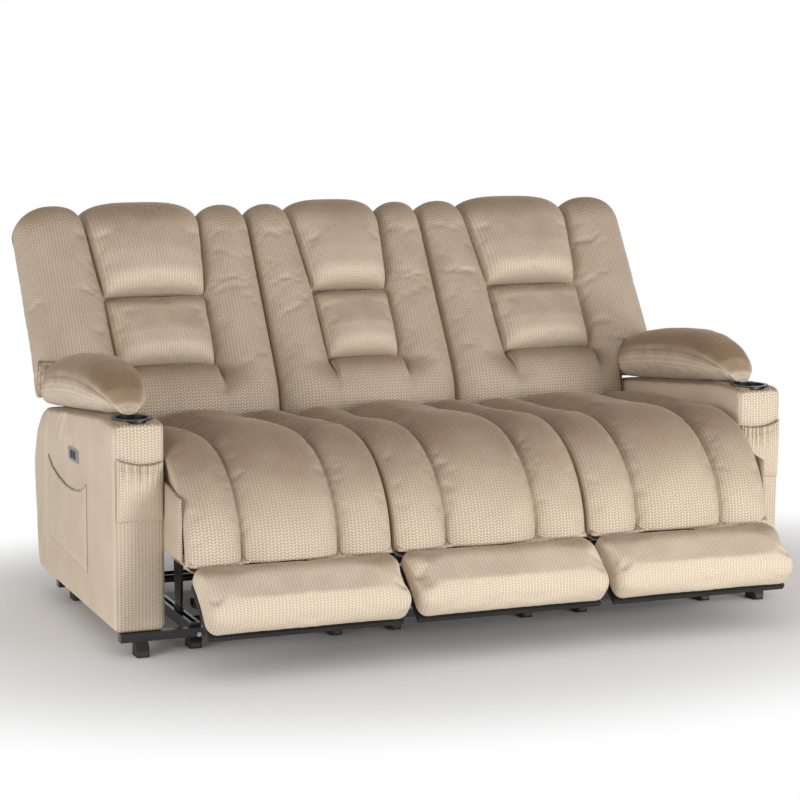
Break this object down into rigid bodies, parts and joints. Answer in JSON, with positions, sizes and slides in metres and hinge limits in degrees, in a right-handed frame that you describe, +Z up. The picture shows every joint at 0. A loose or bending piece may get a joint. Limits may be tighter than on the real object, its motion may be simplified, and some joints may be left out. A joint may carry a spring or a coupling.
{
  "type": "reclining sofa",
  "caption": "Reclining sofa: padded seats whose backs lean and whose leg rests swing out, with cup holders, pockets and push buttons in the arms.",
  "frame": {"origin": "on the floor, under the middle of the whole sofa as it stands with its leg rests part open", "axes": "+X across the sofa to the right as seen from in front, +Y from the front to the back, +Z up"},
  "size_m": [1.981, 1.5006, 1.0933],
  "materials": {
    "seat_fabric": "textured velvet, soft sheen",
    "back_fabric": "textured velvet, soft sheen",
    "pad_fabric": "velvet, soft sheen",
    "arm_fabric": "textured velvet, soft sheen",
    "black_steel": "satin black powder coat",
    "zinc_steel": "zinc plated",
    "spring_steel": "oiled spring wire",
    "rod_steel": "polished",
    "foot_plastic": "matt moulded",
    "motor_plastic": "matt moulded",
    "cup_plastic": "gloss moulded",
    "plate_metal": "satin anodised",
    "button_plastic": "matt moulded",
    "frame_wood": "sawn board",
    "footrest_board": "black stained board"
  },
  "bodies": {
    "root": {"base_stretchers": "black_steel", "floor_feet": "foot_plastic", "frame_bolts": "zinc_steel", "left_mechanism_base": "black_steel", "middle_mechanism_base": "black_steel", "right_mechanism_base": "black_steel", "left_arm_frame": "frame_wood", "left_arm_cover": "arm_fabric", "left_arm_pad": "pad_fabric", "left_cup_holder": "cup_plastic", "left_control_plate": "plate_metal", "left_front_pocket": "arm_fabric", "left_side_pocket": "arm_fabric", "right_arm_frame": "frame_wood", "right_arm_cover": "arm_fabric", "right_arm_pad": "pad_fabric", "right_cup_holder": "cup_plastic", "right_control_plate": "plate_metal", "right_front_pocket": "arm_fabric", "right_side_pocket": "arm_fabric"},
    "left_seat": {"left_seat_frame": "black_steel", "left_seat_springs": "spring_steel", "left_seat_cushion": "seat_fabric", "left_motor": "motor_plastic"},
    "left_back": {"left_back_frame": "frame_wood", "left_back_cushion": "back_fabric", "left_back_pads": "back_fabric"},
    "left_lift": {"left_lift_links": "black_steel"},
    "left_reach": {"left_reach_links": "black_steel"},
    "left_footrest": {"left_footrest_frame": "footrest_board", "left_footrest_pad": "seat_fabric"},
    "left_rod": {"left_motor_rod": "rod_steel"},
    "middle_seat": {"middle_seat_frame": "black_steel", "middle_seat_springs": "spring_steel", "middle_seat_cushion": "seat_fabric", "middle_motor": "motor_plastic"},
    "middle_back": {"middle_back_frame": "frame_wood", "middle_back_cushion": "back_fabric", "middle_back_pads": "back_fabric"},
    "middle_lift": {"middle_lift_links": "black_steel"},
    "middle_reach": {"middle_reach_links": "black_steel"},
    "middle_footrest": {"middle_footrest_frame": "footrest_board", "middle_footrest_pad": "seat_fabric"},
    "middle_rod": {"middle_motor_rod": "rod_steel"},
    "right_seat": {"right_seat_frame": "black_steel", "right_seat_springs": "spring_steel", "right_seat_cushion": "seat_fabric", "right_motor": "motor_plastic"},
    "right_back": {"right_back_frame": "frame_wood", "right_back_cushion": "back_fabric", "right_back_pads": "back_fabric"},
    "right_lift": {"right_lift_links": "black_steel"},
    "right_reach": {"right_reach_links": "black_steel"},
    "right_footrest": {"right_footrest_frame": "footrest_board", "right_footrest_pad": "seat_fabric"},
    "right_rod": {"right_motor_rod": "rod_steel"},
    "left_open_press": {"left_open_button": "button_plastic"},
    "left_close_press": {"left_close_button": "button_plastic"},
    "right_open_press": {"right_open_button": "button_plastic"},
    "right_close_press": {"right_close_button": "button_plastic"}
  },
  "joints": [
    {"name": "left_seat_slide", "type": "slide", "parent": "root", "child": "left_seat", "axis": [0, -1, 0], "range_m": [-0.036, 0.054]},
    {"name": "left_back_recline", "type": "hinge", "parent": "left_seat", "child": "left_back", "pos_m": [-0.56167, 0.33633, 0.43], "axis": [-1, 0, 0], "range_deg": [-16, 24]},
    {"name": "left_legrest_lift", "type": "hinge", "parent": "left_seat", "child": "left_lift", "pos_m": [-0.56167, -0.36867, 0.343], "axis": [-1, 0, 0], "range_deg": [-45, 60]},
    {"name": "left_legrest_reach", "type": "hinge", "parent": "left_lift", "child": "left_reach", "pos_m": [-0.56167, -0.28367, 0.099], "axis": [-1, 0, 0], "range_deg": [-32.7, 24.6]},
    {"name": "left_footrest_tilt", "type": "hinge", "parent": "left_reach", "child": "left_footrest", "pos_m": [-0.56167, -0.61167, 0.137], "axis": [-1, 0, 0], "range_deg": [-18.6, 24.7]},
    {"name": "left_motor_rod_slide", "type": "slide", "parent": "left_seat", "child": "left_rod", "axis": [0, -1, 0], "range_m": [-0.0437, 0.0583]},
    {"name": "middle_seat_slide", "type": "slide", "parent": "root", "child": "middle_seat", "axis": [0, -1, 0], "range_m": [-0.036, 0.054]},
    {"name": "middle_back_recline", "type": "hinge", "parent": "middle_seat", "child": "middle_back", "pos_m": [0, 0.33633, 0.43], "axis": [-1, 0, 0], "range_deg": [-16, 24]},
    {"name": "middle_legrest_lift", "type": "hinge", "parent": "middle_seat", "child": "middle_lift", "pos_m": [0, -0.36867, 0.343], "axis": [-1, 0, 0], "range_deg": [-45, 60]},
    {"name": "middle_legrest_reach", "type": "hinge", "parent": "middle_lift", "child": "middle_reach", "pos_m": [0, -0.28367, 0.099], "axis": [-1, 0, 0], "range_deg": [-32.7, 24.6]},
    {"name": "middle_footrest_tilt", "type": "hinge", "parent": "middle_reach", "child": "middle_footrest", "pos_m": [0, -0.61167, 0.137], "axis": [-1, 0, 0], "range_deg": [-18.6, 24.7]},
    {"name": "middle_motor_rod_slide", "type": "slide", "parent": "middle_seat", "child": "middle_rod", "axis": [0, -1, 0], "range_m": [-0.0437, 0.0583]},
    {"name": "right_seat_slide", "type": "slide", "parent": "root", "child": "right_seat", "axis": [0, -1, 0], "range_m": [-0.036, 0.054]},
    {"name": "right_back_recline", "type": "hinge", "parent": "right_seat", "child": "right_back", "pos_m": [0.56167, 0.33633, 0.43], "axis": [-1, 0, 0], "range_deg": [-16, 24]},
    {"name": "right_legrest_lift", "type": "hinge", "parent": "right_seat", "child": "right_lift", "pos_m": [0.56167, -0.36867, 0.343], "axis": [-1, 0, 0], "range_deg": [-45, 60]},
    {"name": "right_legrest_reach", "type": "hinge", "parent": "right_lift", "child": "right_reach", "pos_m": [0.56167, -0.28367, 0.099], "axis": [-1, 0, 0], "range_deg": [-32.7, 24.6]},
    {"name": "right_footrest_tilt", "type": "hinge", "parent": "right_reach", "child": "right_footrest", "pos_m": [0.56167, -0.61167, 0.137], "axis": [-1, 0, 0], "range_deg": [-18.6, 24.7]},
    {"name": "right_motor_rod_slide", "type": "slide", "parent": "right_seat", "child": "right_rod", "axis": [0, -1, 0], "range_m": [-0.0437, 0.0583]},
    {"name": "left_open_button_press", "type": "slide", "parent": "root", "child": "left_open_press", "axis": [1, 0, 0], "range_m": [0, 0.002], "stiffness_N_per_m": 800, "springref_m": -0.001},
    {"name": "left_close_button_press", "type": "slide", "parent": "root", "child": "left_close_press", "axis": [1, 0, 0], "range_m": [0, 0.002], "stiffness_N_per_m": 800, "springref_m": -0.001},
    {"name": "right_open_button_press", "type": "slide", "parent": "root", "child": "right_open_press", "axis": [-1, 0, 0], "range_m": [0, 0.002], "stiffness_N_per_m": 800, "springref_m": -0.001},
    {"name": "right_close_button_press", "type": "slide", "parent": "root", "child": "right_close_press", "axis": [-1, 0, 0], "range_m": [0, 0.002], "stiffness_N_per_m": 800, "springref_m": -0.001}
  ],
  "couplings": [
    {"joint": "left_back_recline", "follows": "left_seat_slide", "rad_per_m": 7.679},
    {"joint": "left_legrest_reach", "follows": "left_legrest_lift", "ratio": -0.543},
    {"joint": "left_footrest_tilt", "follows": "left_legrest_lift", "ratio": 0.41},
    {"joint": "left_motor_rod_slide", "follows": "left_legrest_lift", "m_per_rad": 0.0555},
    {"joint": "middle_back_recline", "follows": "middle_seat_slide", "rad_per_m": 7.679},
    {"joint": "middle_legrest_reach", "follows": "middle_legrest_lift", "ratio": -0.543},
    {"joint": "middle_footrest_tilt", "follows": "middle_legrest_lift", "ratio": 0.41},
    {"joint": "middle_motor_rod_slide", "follows": "middle_legrest_lift", "m_per_rad": 0.0555},
    {"joint": "right_back_recline", "follows": "right_seat_slide", "rad_per_m": 7.679},
    {"joint": "right_legrest_reach", "follows": "right_legrest_lift", "ratio": -0.543},
    {"joint": "right_footrest_tilt", "follows": "right_legrest_lift", "ratio": 0.41},
    {"joint": "right_motor_rod_slide", "follows": "right_legrest_lift", "m_per_rad": 0.0555}
  ]
}
